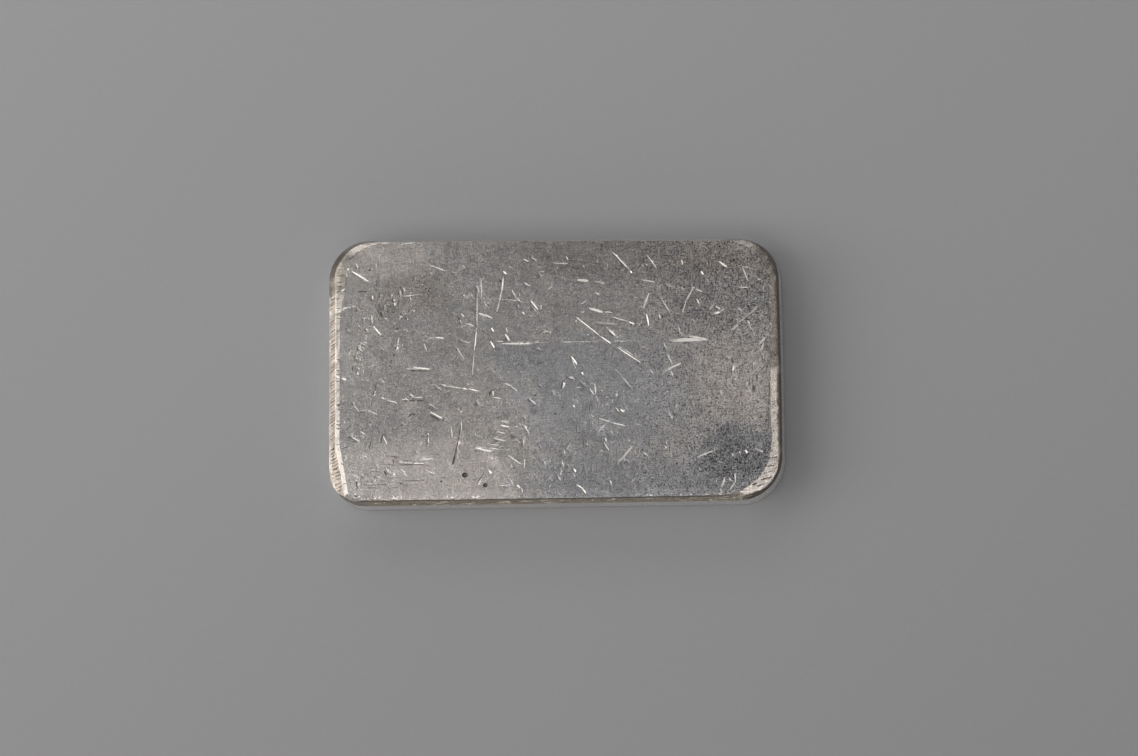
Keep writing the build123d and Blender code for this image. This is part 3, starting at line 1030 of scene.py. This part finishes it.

# old scores painted dark with dirt, and painted shadow lines beside bright cuts and in grooves
scoresAndShadowLines = {
    "longScoreTop": ((461.0, 423.5), (458.0, 442.0), 1.4),
    "longScore": ((458.3, 440.5), (455.0, 456.0), 1.9),
    "longScoreEnd": ((455.3, 454.0), (452.7, 465.0), 2.8),
    "levelUnder": ((408.5, 370.4), (429.0, 371.2), 1.6),
    "gashUnder": ((347.5, 272.5), (366.5, 284.2), 1.3),
    "dashedA": ((403.5, 400.8), (408.0, 400.8), 1.7),
    "dashedB": ((409.0, 400.8), (415.5, 400.3), 1.6),
    "dashedC": ((417.0, 400.4), (423.5, 400.6), 1.6),
    "underDashO": ((429.8, 414.5), (440.0, 420.5), 2.4),
    "blotA": ((408.3, 417.0), (412.0, 413.5), 2.0),
    "blotB": ((412.0, 413.3), (415.3, 415.0), 1.8),
    "uprightA": ((376.9, 382.0), (374.9, 390.0), 1.2),
    "uprightB": ((374.4, 391.0), (373.4, 395.5), 1.5),
    "uprightC": ((392.4, 295.5), (392.7, 299.0), 1.1),
    "uprightD": ((392.5, 298.5), (393.4, 303.5), 2.0),
    "uprightE": ((393.3, 303.0), (394.0, 305.8), 1.1),
    "uprightF": ((390.6, 304.8), (390.5, 308.3), 1.6),
    "tickDarkA": ((402.6, 290.3), (403.1, 295.8), 1.3),
    "tickDarkB": ((399.6, 295.2), (399.8, 297.5), 1.3),
    "tickDarkC": ((387.6, 310.8), (387.6, 312.8), 1.6),
    "tickDarkD": ((393.5, 311.4), (393.8, 313.2), 1.6),
    "tickDarkE": ((405.4, 317.8), (407.0, 319.8), 1.9),
    "tickDarkF": ((409.4, 309.0), (408.2, 313.4), 1.1),
    "tickDarkG": ((406.8, 314.0), (403.4, 317.8), 1.1),
    "tickDarkH": ((411.6, 311.4), (413.2, 311.6), 1.2),
    "tickDarkI": ((371.5, 295.0), (371.5, 302.0), 0.9),
    "tickDarkJ": ((376.6, 280.0), (376.9, 287.0), 1.0),
    "tickDarkK": ((384.4, 316.4), (386.4, 317.2), 1.2),
    "tickDarkL": ((378.3, 318.0), (378.8, 320.0), 1.3),
    "blotC": ((380.3, 311.5), (382.3, 317.0), 3.0),
    "blotD": ((425.2, 288.7), (427.4, 288.5), 1.5),
    "blotE": ((429.2, 289.0), (431.6, 287.4), 1.9),
    "blotF": ((428.4, 290.4), (429.4, 291.8), 1.7),
    "blotG": ((427.2, 292.2), (427.8, 294.2), 1.1),
    "ladderDarkA": ((357.6, 346.2), (357.8, 350.8), 1.5),
    "ladderDarkB": ((356.2, 354.4), (354.0, 358.4), 1.2),
    "ladderDarkC": ((353.6, 364.6), (352.2, 371.0), 1.1),
    "ladderDarkD": ((356.2, 370.8), (356.8, 373.6), 1.2),
    "ladderDarkE": ((364.4, 329.4), (366.8, 331.6), 1.8),
    "farNotch": ((521.5, 241.6), (528.0, 242.0), 1.6),
    "farRightSpotA": ((752.2, 243.2), (754.0, 243.5), 1.5),
    "farRightSpotB": ((756.3, 249.3), (757.7, 250.9), 1.6),
    "farRightSpotC": ((755.4, 252.4), (756.6, 256.0), 1.8),
    "rimSpotA": ((779.0, 302.5), (779.2, 306.5), 1.8),
    "rimSpotB": ((779.2, 312.0), (779.2, 314.0), 1.6),
    "rimSpotC": ((779.3, 316.8), (779.3, 319.4), 1.8),
    "rimSpotD": ((779.5, 322.6), (779.5, 327.4), 2.0),
    "rimSpotE": ((779.6, 332.6), (779.8, 344.2), 2.2),
    "slashSpotA": ((769.0, 338.4), (770.3, 338.6), 1.6),
    "slashSpotB": ((773.3, 338.0), (774.8, 338.1), 1.6),
    "leftShade": ((358.0, 291.5), (367.5, 291.5), 1.6),
    "starShade": ((457.5, 317.0), (460.0, 320.5), 1.8),
    "besideTick": ((489.3, 395.5), (491.2, 390.5), 2.6),
    "archDark": ((561.3, 389.5), (562.8, 380.0), 2.4),
    "archDarkB": ((562.5, 380.5), (567.5, 378.0), 1.4),
    "archDarkC": ((566.5, 378.2), (574.5, 379.8), 1.3),
    "nearLeftA": ((380.8, 443.0), (383.0, 433.5), 1.5),
    "nearLeftB": ((369.0, 450.0), (372.0, 437.5), 1.1),
    "nearLeftC": ((341.0, 449.0), (349.0, 446.8), 1.0),
    "nearLeftD": ((400.5, 464.8), (425.0, 464.3), 1.3),
    "nearLeftE": ((384.0, 470.8), (387.0, 475.2), 2.2),
    "nearLeftF": ((356.0, 480.5), (357.5, 489.0), 1.3),
    "nearLeftG": ((485.0, 470.5), (476.5, 485.5), 1.0),
    "nearLeftH": ((427.3, 431.5), (427.7, 446.0), 1.0),
    "nearLeftI": ((392.5, 465.5), (395.5, 455.0), 1.0),
    "nearLeftJ": ((497.0, 486.8), (509.0, 486.5), 1.1),
    "topDot": ((700.0, 489.0), (703.0, 489.5), 1.2),
    "rightScoreA": ((732.0, 358.0), (732.6, 363.5), 2.4),
    "rightScoreB": ((732.5, 364.0), (731.0, 378.0), 1.3),
    "rightScoreC": ((768.0, 362.5), (757.5, 374.0), 1.4),
    "rightScoreD": ((756.5, 374.0), (757.5, 381.0), 2.2),
    "rightScoreE": ((754.0, 385.0), (753.8, 391.0), 4.0),
    "rightScoreF": ((749.0, 391.0), (745.5, 387.0), 1.2),
    "rightScoreG": ((693.5, 263.5), (693.8, 271.0), 1.2),
    "rightScoreH": ((739.0, 267.0), (738.5, 281.0), 1.6),
    "rightScoreI": ((717.0, 301.0), (717.3, 305.0), 1.3),
    "rightScoreJ": ((697.0, 439.5), (701.5, 447.0), 1.0),
    "rightScoreK": ((734.0, 323.0), (731.5, 326.5), 2.0),
    "laneTop": ((398.8, 328.0), (395.8, 329.8), 1.9),
    "laneA": ((396.3, 346.6), (395.4, 349.3), 2.2),
    "laneB": ((394.2, 353.0), (393.4, 356.8), 1.4),
    "laneC": ((391.7, 359.4), (390.6, 363.6), 1.4),
    "laneD": ((390.3, 364.6), (389.6, 366.8), 1.2),
    "stripGapA": ((336.8, 404.4), (341.2, 404.2), 1.0),
    "stripGapB": ((337.2, 415.2), (341.2, 414.8), 0.9),
    "stripGapC": ((336.8, 420.6), (341.8, 420.2), 1.2),
    "stripGapD": ((338.6, 436.6), (342.8, 437.8), 1.3),
    "stripGapE": ((336.8, 441.2), (341.8, 440.8), 1.2),
    "stripGapF": ((337.2, 444.8), (341.8, 444.6), 0.8),
    "stripGapG": ((337.6, 449.4), (342.2, 449.2), 1.0),
    "stripGapH": ((341.0, 463.8), (344.4, 464.4), 1.8),
    "cornerLine": ((353.0, 494.8), (358.5, 497.0), 1.3),
    "cornerLineB": ((351.0, 498.0), (356.5, 499.4), 1.4),
}

# pits, each a middle pixel and a width in pixels
pits = {
    "roundPit": ((464.8, 475.0), 6.0),
    "threeSidedPit": ((485.3, 485.2), 5.0),
    "leanPit": ((500.5, 281.0), 2.4),
    "cornerPit": ((369.5, 270.0), 2.0),
    "nearPit": ((441.5, 481.3), 2.2),
    "middlePit": ((555.5, 413.5), 2.2),
    "middlePitB": ((535.0, 395.4), 2.0),
    "endPit": ((631.0, 325.3), 1.8),
}

# a painted shadow line along the right edge of the top face, from pixel to pixel
rimShadowLine = (
    (769.2, 382.5), (769.4, 390.0), (769.0, 398.0), (769.3, 406.0),
    (768.9, 414.0), (769.0, 422.0), (768.4, 430.0),
)
rimShadowWidth = 1.8


def addSeenMarks():
    for start, end in zip(rimShadowLine, rimShadowLine[1:]):
        seenCut(start, end, rimShadowWidth, cutShape["graze"], 0.0, dirtAndShade)
    for name, (start, end, width) in cuts.items():
        if name in brightest:
            seenCut(start, end, width, cutShape["cut"])
        else:
            seenCut(start, end, width, cutShape["soft"], finish=dulledSilver)
    for start, end, width in grazes.values():
        seenCut(start, end, width, cutShape["graze"])
    for start, end, width in scoresAndShadowLines.values():
        seenCut(start, end, width, cutShape["score"], keelShare=-0.5, finish=dirtAndShade)
    for (x, y), width in pits.values():
        seenCut((x - width / 2, y), (x + width / 2, y), width, cutShape["pit"], 0.0, dirtAndShade, ball)
    dice = random.Random(2)
    for row in rimSpecks.values():
        for x in row["across"]:
            half = dice.uniform(*speckShape["half"])
            down = row["down"] + row["slope"] * (x - row["across"][0]) + dice.uniform(*speckShape["stray"])
            seenCut((x - half, down), (x + half, down), dice.uniform(*speckShape["width"]), cutShape["cut"])


addSeenMarks()


# rubbed zones of the top face: short straight strokes in lanes, between two pixels of the photo
rubbings = {
    "nearLeft": {
        "from": (355, 456), "to": (405, 490),
        "pitch": 2.3, "length": (12, 30), "gap": (2, 10), "upright": False,
    },
    "farLeft": {
        "from": (370, 288), "to": (400, 318),
        "pitch": 3.0, "length": (3, 8), "gap": (3, 10), "upright": True,
    },
    "middle": {
        "from": (575, 395), "to": (602, 421),
        "pitch": 3.2, "length": (7, 16), "gap": (3, 8), "upright": True,
    },
    "right": {
        "from": (700, 345), "to": (764, 428),
        "pitch": 4.6, "length": (4, 15), "gap": (4, 16), "upright": True,
    },
    "nearRight": {
        "from": (560, 425), "to": (660, 490),
        "pitch": 5.0, "length": (3, 10), "gap": (8, 30), "upright": True,
    },
}
rubbingWidth = (0.6, 1.0)      # pixels
rubbingDark = 0.45             # share of the strokes that are brown
rubbingLane = (0.2, 0.8)
rubbingDrift = 0.04            # how far a stroke leaves its lane, as a share of its length


def addRubbings():
    dice = random.Random(3)
    for look in rubbings.values():
        (left, top), (right, bottom) = look["from"], look["to"]
        across, run = (right - left, bottom - top) if look["upright"] else (bottom - top, right - left)
        for index in range(int(across / look["pitch"])):
            lane = (index + dice.uniform(*rubbingLane)) * look["pitch"]
            place = dice.uniform(*look["gap"])
            while place < run:
                length = dice.uniform(*look["length"])
                drift = dice.uniform(-rubbingDrift, rubbingDrift) * length
                start = (left + lane, top + place) if look["upright"] else (left + place, top + lane)
                step = (drift, length) if look["upright"] else (length, drift)
                end = (start[0] + step[0], start[1] + step[1])
                finish = brownedSilver if dice.random() < rubbingDark else rubbedSilver
                seenCut(start, end, dice.uniform(*rubbingWidth), cutShape["rub"], finish=finish)
                place = place + length + dice.uniform(*look["gap"])


addRubbings()


# the knocked corner at the front right: broad shallow facets with a painted highlight, and painted shade in
# dark creases between them
knocks = {
    "crestA": ((768.5, 456.2), (775.0, 453.8), 3.0),
    "crestB": ((774.5, 453.7), (780.8, 452.8), 3.0),
    "blobA": ((767.0, 460.4), (776.5, 458.8), 2.4),
    "blobB": ((766.5, 464.6), (775.5, 462.4), 3.2),
    "blobC": ((763.5, 470.8), (773.5, 468.0), 3.6),
    "blobD": ((760.0, 477.4), (770.0, 474.4), 3.6),
    "blobE": ((757.0, 483.4), (766.0, 480.6), 3.2),
    "blobF": ((764.5, 485.4), (770.0, 482.0), 2.6),
    "lowerFace": ((751.0, 490.8), (761.5, 488.8), 3.2),
    "nearStrip": ((735.5, 491.8), (750.0, 491.8), 2.2),
}
creases = {
    "crease": ((751.0, 486.2), (768.0, 488.8), 2.2),
    "creaseEnd": ((752.0, 485.0), (757.5, 483.2), 2.6),
    "blobLine": ((768.0, 479.0), (772.4, 475.8), 1.6),
    "crestLine": ((771.0, 458.0), (777.5, 456.5), 1.4),
    "outerBreak": ((775.5, 480.0), (770.0, 487.0), 2.0),
    "fineA": ((764.5, 474.8), (770.8, 470.2), 1.3),
    "fineB": ((767.5, 467.0), (772.2, 464.2), 1.2),
    "fineC": ((759.5, 482.6), (765.2, 479.0), 1.3),
    "fineD": ((773.6, 470.8), (777.0, 465.8), 1.3),
    "fineE": ((770.0, 452.6), (773.0, 449.8), 1.2),
    "stepA": ((768.0, 458.6), (778.5, 456.6), 1.6),
    "stepB": ((766.0, 467.2), (776.0, 464.8), 1.5),
    "stepC": ((762.5, 473.8), (773.5, 470.6), 1.7),
    "stepD": ((758.8, 480.4), (770.0, 477.2), 1.7),
    "stepE": ((755.6, 486.4), (764.5, 483.6), 1.6),
    "outerA": ((779.6, 461.5), (777.2, 470.5), 2.2),
    "outerB": ((776.4, 473.0), (773.2, 479.6), 2.2),
    "underCrest": ((779.0, 456.6), (782.0, 458.2), 1.6),
    "dotA": ((766.6, 461.6), (768.2, 460.6), 1.3),
    "dotB": ((772.4, 468.8), (773.8, 467.4), 1.3),
    "dotC": ((763.0, 478.8), (764.6, 477.6), 1.4),
}


def addKnocks():
    # painted highlight on the knocked facets, and painted shade in the creases between them
    for start, end, width in knocks.values():
        seenCut(start, end, width, cutShape["knock"], keelShare=-1.0, finish=highlightSilver)
    for start, end, width in creases.values():
        seenCut(start, end, width, cutShape["score"], keelShare=-0.5, finish=dirtAndShade)


addKnocks()
print("corner knocked")


# file strokes on the slanting edges, seen and unseen sides alike
sides = {
    "left": (Vector((1.0, 0.0, 0.0)), Vector((0.0, 1.0, 0.0)), boxHigh.y),
    "right": (Vector((-1.0, 0.0, 0.0)), Vector((0.0, 1.0, 0.0)), boxHigh.y),
    "front": (Vector((0.0, 1.0, 0.0)), Vector((1.0, 0.0, 0.0)), boxHigh.x),
    "far": (Vector((0.0, -1.0, 0.0)), Vector((1.0, 0.0, 0.0)), boxHigh.x),
}
fileStrokes = {
    "low": 0.00082,            # metres below the top face, from here up to the next
    "high": 0.00027,
    "cornerReach": 0.0021,     # length at either end that the strokes leave out
    "width": (0.00006, 0.00012),
    "depth": 0.40,
    "dragCount": 200,          # strokes along the front and the far edge
    "dragLength": (0.0003, 0.0013),
    "dragDrop": 0.06,          # how far a stroke falls or climbs, as a share of the edge's height
}

# strokes across the left and the right edge: lines of the photo as rows of pixels down, outer end, ridge, face
leftLines = (
    (262, 331.5, 337.5, 347.0), (296, 330.5, 336.0, 341.0), (450, 330.0, 335.6, 341.0),
    (465, 330.6, 338.6, 344.6), (480, 332.4, 341.2, 347.0), (492, 337.6, 345.2, 351.0),
)
rightLines = (
    (268, 779.3, 778.0, 768.0), (300, 779.6, 778.6, 771.0), (370, 781.2, 779.4, 771.0),
    (380, 781.6, 779.6, 770.2), (454, 783.0, 780.4, 769.6),
)
crossStrokes = {
    "left": {
        "lines": leftLines, "pitch": 3.3, "rise": 4.6, "width": (1.1, 1.5),
        "innerShare": 0.45, "innerRise": 1.2,
    },
    "right": {
        "lines": rightLines, "pitch": 2.1, "rise": 0.8, "width": (0.6, 1.0),
        "innerShare": 1.0, "innerRise": 1.6,
    },
}
strokeSpread = {
    "pitch": (0.8, 1.2),       # how much one stroke differs from the next, as shares
    "rise": (0.7, 1.2),
    "innerRise": (-0.5, 1.5),
    "innerReach": 0.94,        # how far across the flat facet a stroke runs
    "innerWidth": 0.8,
}


def lineAt(lines, down):
    # the three pixels across of one row, between the two rows given nearest to it
    for upper, lower in zip(lines, lines[1:]):
        if down <= lower[0]:
            break
    share = (down - upper[0]) / (lower[0] - upper[0])
    return [first + (second - first) * share for first, second in zip(upper[1:], lower[1:])]


def addCrossStrokes():
    # a stroke never crosses the ridge between the two facets, which stands above the straight way across
    dice = random.Random(11)
    for look in crossStrokes.values():
        lines = look["lines"]
        down = lines[0][0]
        while down < lines[-1][0]:
            outer, ridge, face = lineAt(lines, down)
            rise = look["rise"] * dice.uniform(*strokeSpread["rise"]) / 2
            finish = dice.choice((brownedSilver, brownedSilver, dulledSilver))
            width = dice.uniform(*look["width"])
            seenCut((outer, down + rise), (ridge, down - rise), width, cutShape["stroke"], finish=finish)
            if dice.random() < look["innerShare"]:
                rise = look["innerRise"] * dice.uniform(*strokeSpread["innerRise"])
                finish = dice.choice((brownedSilver, brownedSilver, freshSilver))
                inner = ridge + (face - ridge) * strokeSpread["innerReach"]
                width = width * strokeSpread["innerWidth"]
                seenCut((ridge, down), (inner, down - rise), width, cutShape["stroke"], finish=finish)
            down = down + look["pitch"] * dice.uniform(*strokeSpread["pitch"])


def sideSpot(side, alongPlace, height):
    # place and normal of one side of the bar, looked at level from outside
    inward, along, reach = sides[side]
    origin = along * alongPlace - inward * cutShape["reach"] + Vector((0.0, 0.0, height))
    place, normal, face, far = skin.ray_cast(origin, inward)
    return place, normal


def sideCut(side, startAlong, startHeight, endAlong, endHeight, width, depthShare, finish):
    start, startNormal = sideSpot(side, startAlong, startHeight)
    end, endNormal = sideSpot(side, endAlong, endHeight)
    normal = sideSpot(side, (startAlong + endAlong) / 2, (startHeight + endHeight) / 2)[1]
    along = end - start
    normal = (normal - along * (normal.dot(along) / along.length_squared)).normalized()
    placeCut(blade, start, end, normal, width, width * depthShare, cutShape["keelShift"], finish)


def addDragStrokes():
    dice = random.Random(7)
    low = topHeight - fileStrokes["low"]
    high = topHeight - fileStrokes["high"]
    for side in ("front", "far"):
        reach = sides[side][2] - fileStrokes["cornerReach"]
        for index in range(fileStrokes["dragCount"] // 2):
            length = dice.uniform(*fileStrokes["dragLength"])
            along = dice.uniform(-reach, reach - length)
            height = dice.uniform(low, high)
            drop = dice.uniform(-fileStrokes["dragDrop"], fileStrokes["dragDrop"]) * (high - low)
            width = dice.uniform(*fileStrokes["width"])
            finish = dice.choice((dirtAndShade, brownedSilver, dulledSilver))
            sideCut(side, along, height, along + length, height + drop, width, fileStrokes["depth"], finish)


addCrossStrokes()
addDragStrokes()
print("file strokes placed")


# small wear: short cuts at random over the top, the walls and the underside
wear = {
    "topCount": 300,
    "topLength": (0.00018, 0.0007),
    "topWidth": (0.00005, 0.00010),
    "wallCount": 120,
    "wallLength": (0.0004, 0.0030),
    "underCount": 160,
    "underLength": (0.0005, 0.0060),
    "margin": 0.0018,          # kept free along the outline
    "depth": 0.10,
    "darkShare": 0.3,
    "turns": (0.0, 1.5, 1.7, -0.6, -0.9, 0.5),
    "turnStray": 0.25,
    "wallBand": (0.15, 0.9),   # shares of the wall's height
    "wallRise": 0.1,
}


def flatCut(dice, upward, length, width, finish):
    # a short cut in the top face or, looked at from below, in the underside
    x = dice.uniform(boxLow.x + wear["margin"], boxHigh.x - wear["margin"] - length)
    y = dice.uniform(boxLow.y + wear["margin"], boxHigh.y - wear["margin"] - length)
    turn = dice.choice(wear["turns"]) + dice.uniform(-wear["turnStray"], wear["turnStray"])
    offset = Vector((math.cos(turn), math.sin(turn), 0.0)) * length
    outward = Vector((0.0, 0.0, upward))
    origin = Vector((x, y, 0.0)) + outward * cutShape["reach"]
    start = skin.ray_cast(origin, -outward)[0]
    end = skin.ray_cast(origin + offset, -outward)[0]
    if start and end:
        placeCut(blade, start, end, outward, width, width * wear["depth"], cutShape["keelShift"], finish)


def addWear():
    dice = random.Random(5)
    for index in range(wear["topCount"]):
        finish = dirtAndShade if dice.random() < wear["darkShare"] else dulledSilver
        flatCut(dice, 1.0, dice.uniform(*wear["topLength"]), dice.uniform(*wear["topWidth"]), finish)
    for index in range(wear["underCount"]):
        flatCut(dice, -1.0, dice.uniform(*wear["underLength"]), dice.uniform(*wear["topWidth"]), dulledSilver)
    wallTop = topHeight - fileStrokes["low"]
    for index in range(wear["wallCount"]):
        side = dice.choice(list(sides))
        length = dice.uniform(*wear["wallLength"])
        reach = sides[side][2] - fileStrokes["cornerReach"] * 2
        along = dice.uniform(-reach, reach - length)
        height = dice.uniform(*(wallTop * share for share in wear["wallBand"]))
        rise = dice.uniform(-wear["wallRise"], wear["wallRise"]) * wallTop
        width = wear["topWidth"][1]
        sideCut(side, along, height, along + length, height + rise, width, wear["depth"], freshSilver)


addWear()


def cutBar():
    selectOnly(bar)
    cutting = bar.modifiers.new("cuts", "BOOLEAN")
    cutting.operation = "DIFFERENCE"
    cutting.operand_type = "COLLECTION"
    cutting.collection = cutGroup
    cutting.solver = "MANIFOLD"
    cutting.material_mode = "TRANSFER"
    bpy.ops.object.modifier_apply(modifier="cuts")
    for used in list(cutGroup.objects) + [blade, ball]:
        bpy.data.objects.remove(used)
    bpy.data.collections.remove(cutGroup)


cutBar()
selectOnly(bar)
bpy.ops.object.shade_smooth_by_angle(angle=math.radians(barShape["smoothAngle"]))
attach(bar, "root")
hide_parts("silver_bar")
triangles = sum(len(face.vertices) - 2 for face in bar.data.polygons)
print("bar cut,", triangles, "triangles, finishes", [finish.name for finish in bar.data.materials])
